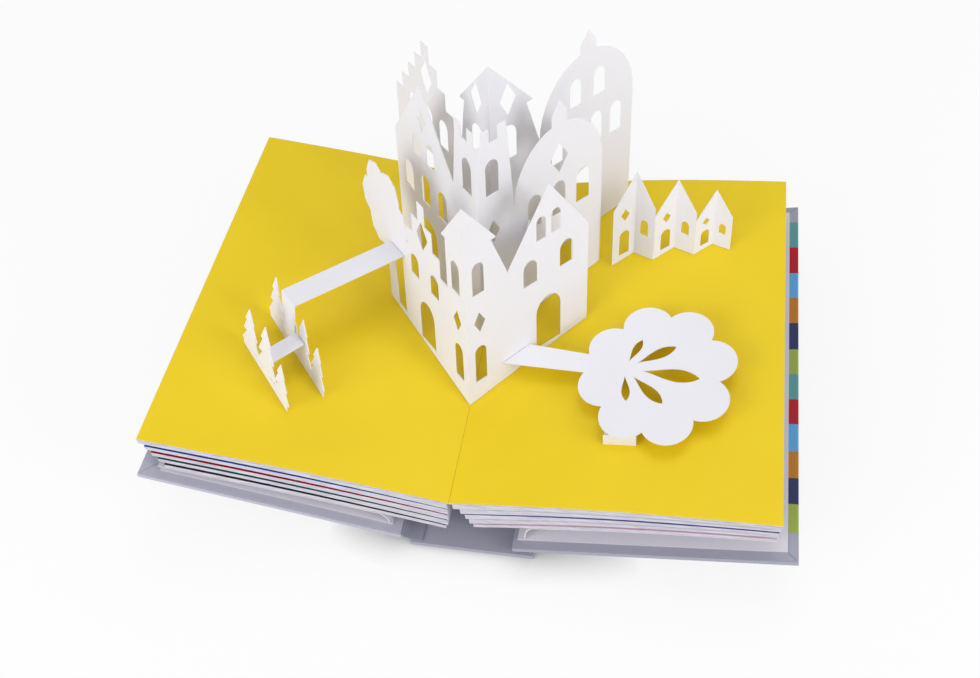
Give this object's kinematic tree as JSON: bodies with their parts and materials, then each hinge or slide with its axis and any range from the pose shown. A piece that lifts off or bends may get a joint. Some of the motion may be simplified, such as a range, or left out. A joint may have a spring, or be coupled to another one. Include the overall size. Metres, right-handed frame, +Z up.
{
  "type": "pop up book",
  "caption": "Thick hardback pop up book, open flat, with a white cut-card town of houses, firs and a round tree standing on its yellow pages.",
  "frame": {"origin": "middle of the underside of the spine board, under the gutter, where the book rests on a table", "axes": "+X across the open book towards the right page's fore-edge, +Y along the gutter away from the reader, +Z up"},
  "size_m": [0.3115, 0.2224, 0.153],
  "materials": {
    "case_paper": "satin grey case paper over board",
    "joint_cloth": "matt grey book cloth",
    "endpaper": "matt white paper",
    "leaf_card": "matt white card, cut edges",
    "yellow_card": "silk yellow printed card",
    "white_card": "matt white card"
  },
  "bodies": {
    "book": {"spine_board": "case_paper", "front_joint_cloth": "joint_cloth", "back_joint_cloth": "joint_cloth", "front_flyleaf": "endpaper", "back_flyleaf": "endpaper", "left_leaves": "leaf_card", "right_leaves": "leaf_card", "open_spread": "yellow_card", "front_street_fold": "white_card", "middle_street_fold": "white_card", "back_street_fold": "white_card", "link_strip": "white_card", "strap": "white_card", "front_fir_row": "white_card", "back_fir_row": "white_card", "fir_bridge": "white_card", "tree_layer": "white_card", "house_row": "white_card"},
    "front_cover": {"front_cover": "case_paper", "front_pastedown": "endpaper"},
    "back_cover": {"back_cover": "case_paper", "back_pastedown": "endpaper"}
  },
  "joints": [
    {"name": "front_cover_hinge", "type": "hinge", "parent": "book", "child": "front_cover", "pos_m": [-0.0255, 0, 0.003], "axis": [0, -1, 0], "range_deg": [0, 100]},
    {"name": "back_cover_hinge", "type": "hinge", "parent": "book", "child": "back_cover", "pos_m": [0.0365, 0, 0.0045], "axis": [0, 1, 0], "range_deg": [0, 100]}
  ]
}
